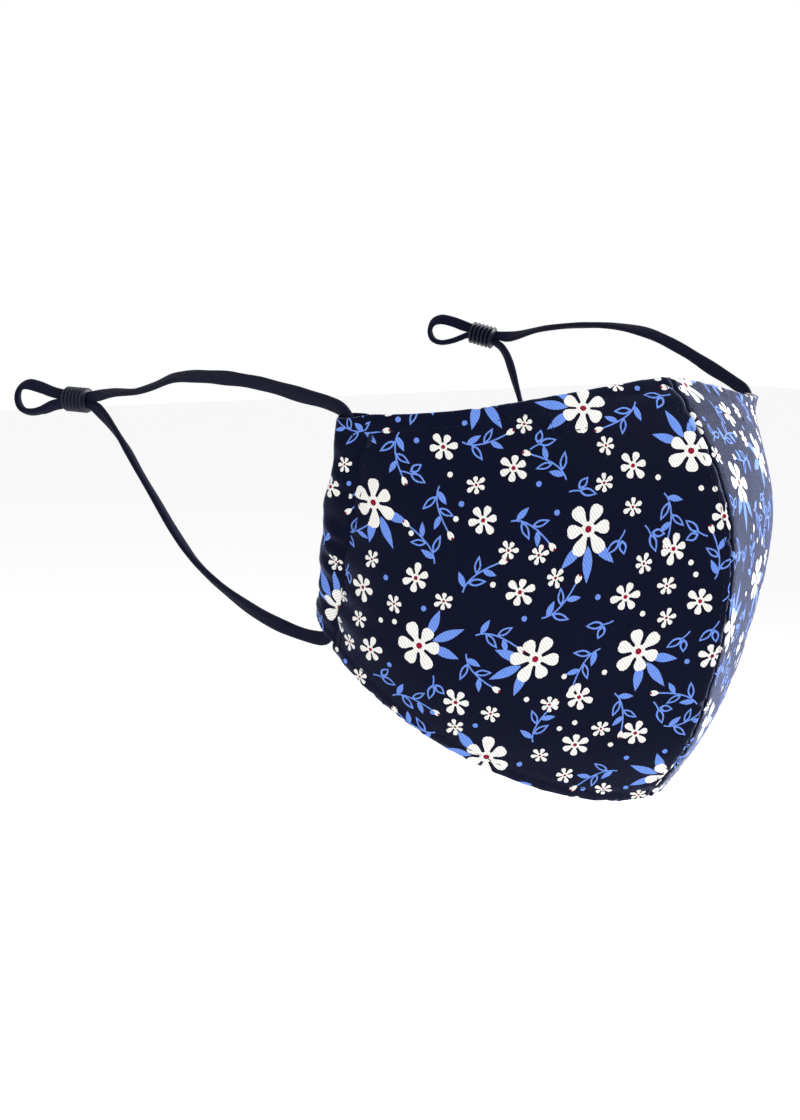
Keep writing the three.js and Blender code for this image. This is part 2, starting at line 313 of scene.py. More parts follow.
def silicone():
    material = principled("toggle_rubber", (0.010, 0.017, 0.036, 1), 0.42)
    nodes = Nodes(material)
    nodes.shader.inputs["Specular IOR Level"].default_value = 0.22
    place = nodes.add("ShaderNodeTexCoord").outputs["Object"]
    grime = nodes.noise(place, 900, 3)
    nodes.link(nodes.math("ADD", nodes.math("MULTIPLY", grime, 0.25), 0.30), nodes.shader.inputs["Roughness"])
    nodes.link(nodes.mix(grime, (0.002, 0.003, 0.009, 1), (0.005, 0.008, 0.020, 1)),
               nodes.shader.inputs["Base Color"])
    nodes.bump(grime, 0.15, 0.0001)
    return material


def thread(name, colour):
    material = principled(name, colour, 0.6)
    nodes = Nodes(material)
    nodes.shader.inputs["Specular IOR Level"].default_value = 0.1
    place = nodes.add("ShaderNodeTexCoord").outputs["Object"]
    fibre = nodes.noise(place, 2500, 2)
    dark = tuple(channel * 0.5 for channel in colour[:3]) + (1,)
    nodes.link(nodes.mix(fibre, dark, colour), nodes.shader.inputs["Base Color"])
    nodes.bump(fibre, 0.4, 0.00008)
    return material


# ------------------------------------------------------------------ the mask's surface
def section_values(v):
    """The section table at heights v, on a smooth curve through its rows."""
    last = len(SECTIONS) - 1
    place = np.clip(v, 0, 1) * last
    row = np.minimum(place.astype(int), last - 1)
    t = (place - row)[..., None]
    here = SECTIONS[row]
    there = SECTIONS[row + 1]
    before = SECTIONS[np.maximum(row - 1, 0)]
    after = SECTIONS[np.minimum(row + 2, last)]
    slope_here = np.where((row > 0)[..., None], (there - before) / 2, there - here)
    slope_there = np.where((row < last - 1)[..., None], (after - here) / 2, there - here)
    cubic = 2 * (here - there) + slope_here + slope_there
    square = 3 * (there - here) - 2 * slope_here - slope_there
    return ((cubic * t + square) * t + slope_here) * t + here


def direction(angle, rise):
    turn, lift = np.radians(angle), np.radians(rise)
    return np.stack([np.cos(turn) * np.cos(lift), np.sin(turn) * np.cos(lift), np.sin(lift)], -1)


def unit(vectors):
    return vectors / np.linalg.norm(vectors, axis=-1, keepdims=True)


def surface(u, v):
    """Points of the left half's outer side in mm: u from the seam, v from the top."""
    u, v = np.broadcast_arrays(np.asarray(u, float), np.asarray(v, float))
    row = section_values(v)
    seam = np.stack([0 * u, row[..., 0], row[..., 1]], -1)
    edge = row[..., 5:8]
    leave = seam + direction(row[..., 2], row[..., 3]) * row[..., 4:5]
    arrive = edge - direction(row[..., 8], row[..., 9]) * row[..., 10:11]
    u = u[..., None]
    return (1 - u) ** 3 * seam + 3 * u * (1 - u) ** 2 * leave + 3 * u * u * (1 - u) * arrive + u ** 3 * edge


def tangents(u, v):
    step = 0.005
    across = surface(np.minimum(u + step, 1), v) - surface(np.maximum(u - step, 0), v)
    down = surface(u, np.minimum(v + step, 1)) - surface(u, np.maximum(v - step, 0))
    return unit(across), unit(down), unit(np.cross(down, across))


def arc_lengths(points, axis):
    steps = np.linalg.norm(np.diff(points, axis=axis), axis=-1)
    total = np.cumsum(steps, axis=axis)
    start = np.zeros_like(np.take(total, [0], axis=axis))
    return np.concatenate([start, total], axis=axis)


def flatten(points, steps=FLATTEN_STEPS):
    """Lay a grid of cloth points out flat, keeping the length of every thread, in mm."""
    rows, columns, _ = points.shape
    across = arc_lengths(points, 1)
    side = arc_lengths(points[:, -1:], 0)[:, 0]
    fan = np.radians(np.linspace(18, -18, rows))[:, None]
    reach = across[:, -1:] - across
    flat = np.stack([-reach * np.cos(fan), reach * np.sin(fan) - side[:, None]], -1).reshape(-1, 2)
    index = np.arange(rows * columns).reshape(rows, columns)
    pairs = [(index[:, :-1], index[:, 1:]), (index[:-1], index[1:]),
             (index[:-1, :-1], index[1:, 1:]), (index[1:, :-1], index[:-1, 1:])]
    first = np.concatenate([pair[0].ravel() for pair in pairs])
    second = np.concatenate([pair[1].ravel() for pair in pairs])
    solid = points.reshape(-1, 3)
    length = np.linalg.norm(solid[first] - solid[second], axis=1)
    links = np.bincount(np.r_[first, second])[:, None]
    for _ in range(steps):
        gap = flat[second] - flat[first]
        now = np.linalg.norm(gap, axis=1)
        pull = gap * ((now - length) / now * 0.5)[:, None]
        move = np.stack([np.bincount(first, pull[:, k], len(flat))
                         - np.bincount(second, pull[:, k], len(flat)) for k in range(2)], -1)
        flat += move / links * 1.6
    return flat.reshape(rows, columns, 2)


def near(distance, width):
    return np.exp(-(distance / width) ** 2)


TOP_STITCH = 3.6          # mm below the top edge
CHANNEL_STITCH = 11.0     # mm below the top edge, under the nose wire
CHANNEL_END = 0.44        # where the nose-wire channel ends, as a share of the half width
SEAM_STITCH = 2.4         # mm beside the centre seam
SEAM_LENGTH = 138         # mm along the centre seam's curve
THREAD_RADIUS = 0.13 * MM
BARTACK_PLACES = (0.09, 0.93)   # shares of the way down the casing
BARTACK_STITCHES = 13
BARTACK_STEP = 0.32       # mm from one stitch to the next
BARTACK_REACH = 0.95      # mm to each side
HEM_STITCH = 3.6          # mm above the bottom edge


def relief(u, v, from_seam, from_side, from_top, from_hem):
    """How far the sewn cloth stands out of its smooth shape, in mm."""
    along = v * SEAM_LENGTH
    puckers = 0.22 * np.exp(-from_seam / 5) * np.sin(along * 2 * math.pi / 7.3 + 1.5 * np.sin(along / 9))
    puckers += 0.16 * np.exp(-from_top / 5) * np.sin(from_seam * 2 * math.pi / 8.1 + np.sin(from_seam / 6))
    puckers += 0.16 * np.exp(-from_hem / 5) * np.sin(from_seam * 2 * math.pi / 7.7)
    gathers = np.sin(v * 2 * math.pi * 7.5 + 0.9 * np.sin(v * 17)) * np.exp(-from_side / 11)
    rolls = np.sin(from_seam / 17 + v * 4) * np.sin(v * 9 + 0.6) * np.sin(math.pi * u)
    wire = near(from_top - 7.2, 2.6) * (1 - np.clip((u - CHANNEL_END) / 0.03 + 0.5, 0, 1))
    grooves = near(from_top - TOP_STITCH, 0.9) + near(from_hem - HEM_STITCH, 0.9)
    grooves = grooves + near(from_seam - SEAM_STITCH, 0.8)
    in_channel = u < CHANNEL_END
    grooves = grooves + near(from_top - CHANNEL_STITCH, 0.9) * in_channel
    return puckers + 0.55 * gathers + 0.5 * rolls + 0.42 * wire - 0.22 * grooves - 0.9 * near(from_seam, 0.9)


def uneven(start, stop, fine, fine_count, count):
    """Steps from start to stop, finer at both ends."""
    low = start + fine * np.arange(fine_count)
    high = stop - fine * np.arange(fine_count)[::-1]
    return np.concatenate([low, np.linspace(low[-1], high[0], count)[1:-1], high])


def panel_grids():
    """The left half's outer cloth: flat places and solid places on one grid, in mm."""
    v = uneven(0, 1, 0.007, 12, 36)[:, None]
    u = uneven(0, 1, 0.009, 7, 36)[None]
    smooth = surface(u, v)
    flat = flatten(smooth)
    _, down, normal = tangents(u, v)
    from_seam = arc_lengths(smooth, 1)
    from_side = from_seam[:, -1:] - from_seam
    from_top = arc_lengths(smooth, 0)
    from_hem = from_top[-1:] - from_top
    solid = smooth + normal * relief(u, v, from_seam, from_side, from_top, from_hem)[..., None]

    def turned_edge(edge, outward, out, flat_edge, flat_inner):
        """Rows of cloth rolled round an edge to the inside."""
        flat_out = unit(flat_edge - flat_inner)
        for run in (0.5, 1.0, 1.5, 2.0, math.pi * LIP, math.pi * LIP + 1.2):
            angle = min(run / LIP, math.pi)
            beyond = run - angle * LIP
            place = edge + out * (math.cos(angle) - 1) * LIP + outward * (math.sin(angle) * LIP - beyond)
            yield flat_edge + flat_out * run, place

    top = list(turned_edge(solid[0], -down[0], normal[0], flat[0], flat[3]))
    hem = list(turned_edge(solid[-1], down[-1], normal[-1], flat[-1], flat[-4]))
    flat = np.concatenate([[row[0] for row in top[::-1]], flat, [row[0] for row in hem]])
    solid = np.concatenate([[row[1] for row in top[::-1]], solid, [row[1] for row in hem]])

    seam_in = unit(np.stack([0 * solid[:, 0, 0], np.ones(len(solid)), 0 * solid[:, 0, 0]], -1))
    solid[:, 0, 0] = 0
    flat_out = unit(flat[:, 0] - flat[:, 2])
    folds = [(flat[:, 0] + flat_out * run, solid[:, 0] + seam_in * run) for run in (1.6, 0.8)]
    tuck = (flat[:, -1] + unit(flat[:, -1] - flat[:, -3]) * 0.8,
            solid[:, -1] + unit(solid[:, -1] - solid[:, -3]) * 0.8)
    flat = np.concatenate([np.stack([fold[0] for fold in folds], 1), flat, tuck[0][:, None]], 1)
    solid = np.concatenate([np.stack([fold[1] for fold in folds], 1), solid, tuck[1][:, None]], 1)
    solid[..., 0] = np.maximum(solid[..., 0], 0) + SEAM_GAP
    solid[:, :len(folds), 0] = -SEAM_OVERLAP
    return flat, solid


def casing_grids():
    """The left side's gathered channel, laid flat as a strip that wraps round the cord."""
    height = uneven(0, 1, 0.012, 4, 70)
    turns = np.linspace(0, 1, 31)
    v = height[:, None]
    _, _, normal = tangents(np.ones_like(v), v)
    out = direction(section_values(v)[..., 8], section_values(v)[..., 9])
    centre = surface(np.ones_like(v), v) + out * (CASING_WIDTH / 2 + 0.3) - normal * WALL / 2
    axis = unit(np.gradient(centre[:, 0], axis=0))[:, None]
    out = unit(out - (out * axis).sum(-1, keepdims=True) * axis)
    through = np.cross(axis, out)
    through = through * np.sign((through * normal).sum(-1, keepdims=True))
    w = turns[None]
    angle = math.pi * (1 - 2 * w)
    side = -np.cos(angle)
    bulge = np.sign(np.sin(angle)) * np.abs(np.sin(angle)) ** 0.8
    rear = (1 + side) / 2
    ends = np.clip(np.minimum(v, 1 - v) / 0.06, 0, 1)
    swell = 0.62 + 0.38 * np.sin(v * 2 * math.pi * 4.6 + 0.7 * np.sin(v * 11) + 0.9) ** 2
    swell = 1 + (swell - 0.8) * ends
    pinch = 0.30 + 0.70 * np.clip(rear * 1.9, 0, 1) ** 0.7
    width = CASING_WIDTH / 2 * (1 + 0.18 * np.sin(v * 2 * math.pi * 3.4 + 0.4) * np.sin(math.pi * v) * rear)
    creases = 0.34 * np.sin(v * 2 * math.pi * 9.5 + 2.2 * side + np.sin(v * 23)) * np.sin(math.pi * v) ** 0.5
    creases = creases * (0.25 + rear) * np.abs(np.sin(angle))
    thick = CASING_THICKNESS / 2 * pinch * swell
    fullness = CASING_FULLNESS * rear * np.clip((v - 0.1) / 0.35, 0, 1) ** 1.5
    top_share = np.clip(1 - v / MOUTH_REACH, 0, 1)
    bottom_share = np.clip(1 - (1 - v) / MOUTH_REACH, 0, 1)
    cut_back = rear * MOUTH_SLANT * (0.5 * top_share - bottom_share) - CASING_LIFT * top_share
    solid = (centre + out * (side * width + fullness)[..., None]
             + through * (bulge * thick + np.sign(bulge) * creases)[..., None]
             + axis * cut_back[..., None])
    inward = unit(centre - solid)
    flat_y = -arc_lengths(solid[:, len(turns) // 2:len(turns) // 2 + 1], 0)
    flat_x = arc_lengths(solid[len(height) // 2:len(height) // 2 + 1], 1)
    flat = np.stack(np.broadcast_arrays(flat_x, flat_y), -1).copy()

    def turned_mouth(row, sign):
        for run, depth, back in ((0.5, 0.2, 0.15), (1.0, 0.55, 0.2), (3.0, 0.62, -1.6), (6.0, 0.62, -4.6)):
            beyond = np.zeros(2)
            beyond[1] = sign * run
            yield flat[row] + beyond, solid[row] + inward[row] * depth - axis[row] * sign * back

    top = list(turned_mouth(0, 1))
    bottom = list(turned_mouth(-1, -1))
    flat = np.concatenate([[row[0] for row in top[::-1]], flat, [row[0] for row in bottom]])
    solid = np.concatenate([[row[1] for row in top[::-1]], solid, [row[1] for row in bottom]])
    solid[..., 0] += SEAM_GAP
    return flat, solid


# ------------------------------------------------------------------ the print's motifs
def turned(points, x, y, degrees):
    angle = math.radians(degrees)
    cosine, sine = math.cos(angle), math.sin(angle)
    return [(x + px * cosine - py * sine, y + px * sine + py * cosine) for px, py in points]


def disc(x, y, radius, sides=10):
    return [(x + radius * math.cos(2 * math.pi * k / sides), y + radius * math.sin(2 * math.pi * k / sides))
            for k in range(sides)]


def petal(start, length, width):
    """A round-ended petal along +X."""
    shape = ((0.0, 0.2), (0.3, 0.5), (0.52, 0.86), (0.72, 1.0), (0.88, 0.84), (0.97, 0.45))
    upper = [(start + length * along, width / 2 * half) for along, half in shape]
    return upper + [(px, -py) for px, py in reversed(upper)]


def leaf(start, length, width, points=7):
    """A pointed leaf along +X."""
    upper = []
    for k in range(points):
        along = k / (points - 1)
        half = width / 2 * math.sin(math.pi * along ** 0.85)
        upper.append((start + length * along, half))
    return upper + [(px, -py) for px, py in reversed(upper[1:-1])]


def stroke(points, width):
    """A thin band along a row of points."""
    left, right = [], []
    for index, (x, y) in enumerate(points):
        before = points[max(index - 1, 0)]
        after = points[min(index + 1, len(points) - 1)]
        along = Vector((after[0] - before[0], after[1] - before[1])).normalized() * width / 2
        left.append((x - along.y, y + along.x))
        right.append((x + along.y, y - along.x))
    return left + right[::-1]


def flower(x, y, degrees, radius, petal_width, eye):
    yield disc(x, y, radius * 0.27), WHITE
    for k in range(6):
        length = radius * (0.90 + 0.10 * math.sin(2.4 * k + degrees))
        outline = petal(radius * 0.12, length - radius * 0.12, petal_width)
        yield turned(outline, x, y, degrees + 60 * k), WHITE
    yield disc(x, y, eye, 8), RED


def bud(x, y, degrees, size):
    outline = [(0, 0), (0.9, 0.75), (2.0, 1.05), (2.8, 0.8), (3.1, 0), (2.8, -0.8), (2.0, -1.05),
               (0.9, -0.75)]
    yield turned([(px * size, py * size) for px, py in outline], x, y, degrees), WHITE
    tip = [(2.5 * size, 0.5 * size), (3.15 * size, 0.35 * size), (3.25 * size, -0.3 * size),
           (2.55 * size, -0.45 * size)]
    yield turned(tip, x, y, degrees), RED


def sprig(x, y, degrees, hand):
    """A curved stem with paired leaves, one outlined leaf and a bud at its tip."""
    bend = [(k * 1.35, hand * 0.085 * (k * 1.35) ** 2) for k in range(8)]
    yield turned(stroke(bend, 0.42), x, y, degrees), BLUE
    for index, side, length in ((1, 1, 4.6), (2, -1, 5.4), (4, 1, 5.0), (5, -1, 4.2)):
        px, py = bend[index]
        slope = math.degrees(math.atan(hand * 0.17 * px))
        shape = leaf(0, length, length * 0.38)
        yield turned(turned(shape, px, py, slope + side * 48), x, y, degrees), BLUE
        if index in (2, 4):
            hollow = leaf(length * 0.16, length * 0.66, length * 0.20)
            yield turned(turned(hollow, px, py, slope + side * 48), x, y, degrees), NAVY
    px, py = bend[-1]
    slope = math.degrees(math.atan(hand * 0.17 * px))
    (tip_x, tip_y), = turned([(px, py)], x, y, degrees)
    yield from bud(tip_x, tip_y, degrees + slope, 0.85)


def leaf_trio(x, y, degrees, size):
    for spread, length in ((-48, 8.2), (-4, 9.6), (42, 8.0)):
        yield turned(leaf(2.2, length * size, 2.7 * size, 8), x, y, degrees + spread), BLUE


def leaf_outline(x, y, degrees):
    for spread, length in ((0, 5.2), (62, 4.0)):
        yield turned(leaf(0.4, length, 2.3), x, y, degrees + spread), BLUE
        yield turned(leaf(1.2, length - 1.5, 1.25), x, y, degrees + spread), NAVY
    yield turned(stroke([(-2.2, -0.8), (-1.0, -0.3), (0.6, 0)], 0.4), x, y, degrees), BLUE


def room(spot, taken):
    """The space between a spot and the nearest motif, across the repeat's borders too."""
    if not taken:
        return 0.0
    others = np.array(taken)
    apart = np.abs(others[:, :2] - spot)
    apart = np.minimum(apart, np.array(REPEAT) - apart)
    return float((np.hypot(apart[:, 0], apart[:, 1]) - others[:, 2]).min())


def laid_out():
    """Kind, place and turn of every motif of one repeat, the largest kinds placed first."""
    draw = random.Random(PRINT_SEED)
    taken, layout = [], []
    for kind, count, reach in MOTIF_KINDS:
        for _ in range(count):
            spots = [(draw.uniform(0, REPEAT[0]), draw.uniform(0, REPEAT[1])) for _ in range(CANDIDATES)]
            x, y = max(spots, key=lambda spot: room(spot, taken))
            degrees = draw.uniform(0, 360)
            layout.append((kind, x, y, degrees))
            taken.append((x, y, reach))
            if kind == "large":
                (fan_x, fan_y), = turned([(FAN_DISTANCE, 0)], x, y, degrees)
                taken.append((fan_x % REPEAT[0], fan_y % REPEAT[1], FAN_ROOM))
    return layout


def repeat_motifs():
    """One repeat of the print: outlines with their colours, later ones on top."""
    leaves, flowers = [], []
    for number, (kind, x, y, degrees) in enumerate(laid_out()):
        if kind == "large":
            leaves.extend(leaf_trio(*turned([(2, 0)], x, y, degrees)[0], degrees, 1.0))
            flowers.extend(flower(x, y, degrees + 30, *FLOWER_SIZES[kind]))
        elif kind in FLOWER_SIZES:
            flowers.extend(flower(x, y, degrees, *FLOWER_SIZES[kind]))
        elif kind == "sprig":
            leaves.extend(sprig(*turned([(-4.7, 0)], x, y, degrees)[0], degrees, 1 if number % 2 else -1))
        elif kind == "outline":
            leaves.extend(leaf_outline(x, y, degrees))
        else:
            leaves.append((disc(x, y, 0.8, 8), WHITE if number % 2 else BLUE))
    return leaves + flowers


def motifs_over(low, high, shift):
    """Every motif of the repeated print that reaches the box from low to high."""
    for outline, colour in repeat_motifs():
        points = np.array(outline) + shift
        small, large = points.min(0), points.max(0)
        first = np.floor((low - large) / REPEAT).astype(int)
        last = np.ceil((high - small) / REPEAT).astype(int)
        for column in range(first[0], last[0] + 1):
            for row in range(first[1], last[1] + 1):
                moved = points + (column * REPEAT[0], row * REPEAT[1])
                if (moved.max(0) > low).all() and (moved.min(0) < high).all():
                    yield moved, colour


# ------------------------------------------------------------------ meshes
def new_piece(name, vertices, faces, material, uvs=None, smooth=True):
    mesh = bpy.data.meshes.new(name)
    mesh.from_pydata([tuple(point) for point in vertices], [], [tuple(face) for face in faces])
    mesh.validate()
    if uvs is not None:
        layer = mesh.uv_layers.new(name="cloth")
        corners = np.empty(len(mesh.loops), dtype=np.int32)
        mesh.loops.foreach_get("vertex_index", corners)
        layer.data.foreach_set("uv", np.asarray(uvs, dtype=np.float32)[corners].ravel())
    mesh.polygons.foreach_set("use_smooth", [smooth] * len(mesh.polygons))
    mesh.materials.append(material)
    piece = bpy.data.objects.new(name, mesh)
    bpy.context.collection.objects.link(piece)
    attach(piece, "root")
    return piece


def locate(points, flat):
    """Each flat point's row and column on the grid, as fractions."""
    rows, columns, _ = flat.shape
    centres = (flat[:-1, :-1] + flat[1:, :-1] + flat[:-1, 1:] + flat[1:, 1:]) / 4
    tree = kdtree.KDTree((rows - 1) * (columns - 1))
    for index, (x, y) in enumerate(centres.reshape(-1, 2)):
        tree.insert((x, y, 0), index)
    tree.balance()
    places = np.zeros((len(points), 2))
    for number, point in enumerate(points):
        best = (1e9, 0, 0)
        for _, index, _ in tree.find_n((point[0], point[1], 0), 14):
            row, column = divmod(index, columns - 1)
            corner = flat[row, column]
            right = flat[row, column + 1] - corner
            below = flat[row + 1, column] - corner
            twist = flat[row + 1, column + 1] - corner - right - below
            s, t = 0.5, 0.5
            for _ in range(4):
                miss = corner + s * right + t * below + s * t * twist - point
                along_s, along_t = right + t * twist, below + s * twist
                area = along_s[0] * along_t[1] - along_s[1] * along_t[0]
                s -= (miss[0] * along_t[1] - miss[1] * along_t[0]) / area
                t -= (along_s[0] * miss[1] - along_s[1] * miss[0]) / area
            outside = max(-s, s - 1, -t, t - 1, 0)
            if outside < best[0]:
                best = (outside, row + min(max(t, 0), 1), column + min(max(s, 0), 1))
            if outside < 1e-6:
                break
        places[number] = best[1:]
    return places


def on_grid(places, grid):
    row = np.minimum(places[:, 0].astype(int), grid.shape[0] - 2)
    column = np.minimum(places[:, 1].astype(int), grid.shape[1] - 2)
    t = (places[:, 0] - row)[:, None]
    s = (places[:, 1] - column)[:, None]
    top = grid[row, column] * (1 - s) + grid[row, column + 1] * s
    bottom = grid[row + 1, column] * (1 - s) + grid[row + 1, column + 1] * s
    return top * (1 - t) + bottom * t


def anticlockwise(loop, points):
    corners = np.array([points[number] for number in loop])
    after = np.roll(corners, -1, 0)
    area = (corners[:, 0] * after[:, 1] - corners[:, 1] * after[:, 0]).sum()
    return loop if area > 0 else loop[::-1]


def printed_cloth(name, flat, solid, hand, shift, material):
    """A sheet of cloth whose mesh follows the outlines of its print."""
    flat = flat * (hand, 1)
    rows, columns, _ = flat.shape
    index = np.arange(rows * columns).reshape(rows, columns)
    border = np.concatenate([index[0, :-1], index[:-1, -1], index[-1, :0:-1], index[:0:-1, 0]])
    points = [tuple(point) for point in flat.reshape(-1, 2)]
    loops = [anticlockwise(border.tolist(), points)]
    colours = [NAVY]
    low, high = flat.reshape(-1, 2).min(0), flat.reshape(-1, 2).max(0)
    for outline, colour in motifs_over(low, high, np.array(shift)):
        numbers = list(range(len(points), len(points) + len(outline)))
        points.extend(tuple(point) for point in outline)
        loops.append(anticlockwise(numbers, points))
        colours.append(colour)
    result = geometry.delaunay_2d_cdt([Vector(point) for point in points], [], loops, 0, 1e-5, True)
    vertices, _, faces, _, _, sources = result
    inside = [(face, colours[max(source)]) for face, source in zip(faces, sources) if 0 in source]
    used = sorted({corner for face, _ in inside for corner in face})
    renumber = {old: new for new, old in enumerate(used)}
    spots = np.array([vertices[old][:] for old in used])
    places = locate(spots, flat)
    shaped = on_grid(places, solid) * (hand * MM, MM, MM)
    turned_faces = [[renumber[corner] for corner in face] for face, _ in inside]
    piece = new_piece(name, shaped, turned_faces, material, spots)
    layer = piece.data.color_attributes.new("print", "FLOAT_COLOR", "CORNER")
    tint = np.array([PRINT_COLOURS[colour] for _, colour in inside], dtype=np.float32)
    counts = [len(face) for face in turned_faces]
    layer.data.foreach_set("color", np.repeat(tint, counts, axis=0).ravel())
    return piece


def grid_faces(rows, columns, wrapped=False):
    faces = []
    cells = columns if wrapped else columns - 1
    for row in range(rows - 1):
        for column in range(cells):
            right = (column + 1) % columns
            faces.append((row * columns + column, (row + 1) * columns + column,
                          (row + 1) * columns + right, row * columns + right))
    return faces


def lining(name, hand, material):
    """The plain inner layer behind a panel."""
    v = np.linspace(0.004, 0.996, 60)[:, None]
    u = np.linspace(0.0, 1, 50)[None]
    _, _, normal = tangents(u, v)
    smooth = surface(u, v)
    from_seam = arc_lengths(smooth, 1)
    waves = 0.35 * np.sin(v * 2 * math.pi * 7.5) * np.exp(-(from_seam[:, -1:] - from_seam) / 11)
    back = -normal
    back[:, 0, 0] = 0
    back[:, 0] /= (back[:, 0] ** 2).sum(-1, keepdims=True)
    solid = smooth + back * (LINING_DEPTH - waves)[..., None]
    solid[..., 0] = np.maximum(solid[..., 0], 0) + SEAM_GAP
    faces = grid_faces(60, 50)
    if hand > 0:
        faces = [face[::-1] for face in faces]
    flat = np.stack([from_seam, np.broadcast_to(-v * 120, from_seam.shape)], -1)
    points = solid.reshape(-1, 3) * (hand * MM, MM, MM)
    return new_piece(name, points, faces, material, flat.reshape(-1, 2))


# ------------------------------------------------------------------ sewing
def capsule(start, end, normal, radius, sides=6):
    """One stitch: a short rounded thread that dips into the cloth at both ends."""
    start, end, normal = Vector(start), Vector(end), Vector(normal).normalized()
    along = end - start
    side = along.normalized().cross(normal)
    vertices, faces = [], []
    profile = ((0.0, 0.05, -0.9), (0.08, 0.7, -0.35), (0.3, 1.0, 0.25), (0.7, 1.0, 0.25), (0.92, 0.7, -0.35),
               (1.0, 0.05, -0.9))
    for place, girth, lift in profile:
        centre = start + along * place + normal * radius * lift
        for k in range(sides):
            angle = 2 * math.pi * k / sides
            offset = side * math.cos(angle) + normal * math.sin(angle)
            vertices.append(centre + offset * radius * girth)
    for ring in range(len(profile) - 1):
        for k in range(sides):
            after = (k + 1) % sides
            here, there = ring * sides, (ring + 1) * sides
            faces.append((here + k, here + after, there + after, there + k))
    faces.append(tuple(range(sides))[::-1])
    faces.append(tuple(range((len(profile) - 1) * sides, len(profile) * sides)))
    return vertices, faces


def stitches_along(path, normals, length, gap, radius):
    """Stitches end to end along a path of points on the cloth."""
    path = np.asarray(path)
    distance = arc_lengths(path, 0)

    def at(values, s):
        return np.array([np.interp(s, distance, values[:, k]) for k in range(3)])

    start = gap / 2
    while start + length < distance[-1]:
        middle = at(normals, start + length / 2)
        yield capsule(at(path, start), at(path, start + length), middle, radius)
        start += length + gap


def joined(parts):
    vertices, faces = [], []
    for more_vertices, more_faces in parts:
        base = len(vertices)
        vertices.extend(more_vertices)
        faces.extend(tuple(base + corner for corner in face) for face in more_faces)
    return vertices, faces


class PanelLines:
    """Finds paths on a finished panel at set distances from its edges."""

    def __init__(self, hand):
        self.hand = hand
        self.v = np.linspace(0, 1, 241)[:, None]
        self.u = np.linspace(0, 1, 201)[None]
        smooth = surface(self.u, self.v)
        self.from_seam = arc_lengths(smooth, 1)
        self.from_side = self.from_seam[:, -1:] - self.from_seam
        self.from_top = arc_lengths(smooth, 0)
        self.from_hem = self.from_top[-1:] - self.from_top
        _, _, self.normal = tangents(self.u, self.v)
        out = relief(self.u, self.v, self.from_seam, self.from_side, self.from_top, self.from_hem)
        self.points = smooth + self.normal * out[..., None]

    def finish(self, points, normals):
        scale = np.array((self.hand, 1, 1))
        shift = np.array((SEAM_GAP, 0, 0))
        return (np.array(points) + shift) * scale * MM, np.array(normals) * scale

    def beside_edge(self, measure, distance, low, high):
        """A line below the top edge or above the hem, between two shares of the width."""
        points, normals = [], []
        for column in range(int(low * 200), int(high * 200) + 1):
            row = int(np.abs(measure[:, column] - distance).argmin())
            points.append(self.points[row, column])
            normals.append(self.normal[row, column])
        return self.finish(points, normals)

    def beside_seam(self, measure, distance, low, high):
        """A line that runs down the panel beside the seam or the casing."""
        points, normals = [], []
        for row in range(int(low * 240), int(high * 240) + 1):
            column = int(np.abs(measure[row] - distance).argmin())
            points.append(self.points[row, column])
            normals.append(self.normal[row, column])
        return self.finish(points, normals)


def smoothed(path, normals, window=5):
    kernel = np.ones(window) / window
    padded = np.concatenate([np.repeat(path[:1], window // 2, 0), path, np.repeat(path[-1:], window // 2, 0)])
    even = np.stack([np.convolve(padded[:, k], kernel, "valid") for k in range(3)], -1)
    return even, normals


def sewing(name, hand, material):
    """All the thread of one side: top edge, nose-wire channel, seam, hem, casing and bartacks."""
    lines = PanelLines(hand)
    thin = THREAD_RADIUS
    parts = []
    runs = [
        (lines.beside_edge(lines.from_top, TOP_STITCH, CHANNEL_END, 0.995), 2.3, 0.7),
        (lines.beside_edge(lines.from_top, CHANNEL_STITCH, 0.02, CHANNEL_END), 2.3, 0.7),
        (lines.beside_edge(lines.from_hem, HEM_STITCH, 0.02, 0.995), 2.4, 0.8),
        (lines.beside_seam(lines.from_seam, SEAM_STITCH, 0.01, 0.99), 2.3, 0.7),
        (lines.beside_seam(lines.from_side, 0.9, 0.01, 0.99), 2.1, 0.8),
    ]
    for (path, normals), length, gap in runs:
        path, normals = smoothed(path, normals)
        parts.extend(stitches_along(path, normals, length * MM, gap * MM, thin))
    column = int(CHANNEL_END * 200)
    rows = [int(np.abs(lines.from_top[:, column] - d).argmin()) for d in (TOP_STITCH, CHANNEL_STITCH)]
    span = slice(rows[0], rows[1] + 1)
    path, normals = lines.finish(lines.points[span, column], lines.normal[span, column])
    parts.extend(stitches_along(path, normals, 2.1 * MM, 0.4 * MM, thin))
    for v in BARTACK_PLACES:
        parts.extend(bartack(lines, v))
    vertices, faces = joined(parts)
    return new_piece(name, vertices, faces, material)


def bartack(lines, v):
    """A dense knot of zigzag stitches beside the casing."""
    row = int(v * 240)
    column = int(np.abs(lines.from_side[row] - 0.9).argmin())
    centre = lines.points[row, column]
    normal = lines.normal[row, column]
    down = unit(lines.points[row + 3, column] - lines.points[row - 3, column])
    across = np.cross(normal, down)
    for k in range(BARTACK_STITCHES):
        offset = (k - BARTACK_STITCHES // 2) * BARTACK_STEP
        tilt = 0.25 if k % 2 else -0.25
        ends = [centre + down * (offset + tilt * side) + across * BARTACK_REACH * side + normal * 0.1
                for side in (-1, 1)]
        points, normals = lines.finish(ends, [normal, normal])
        yield capsule(points[0], points[1], normals[0], 0.22 * MM)


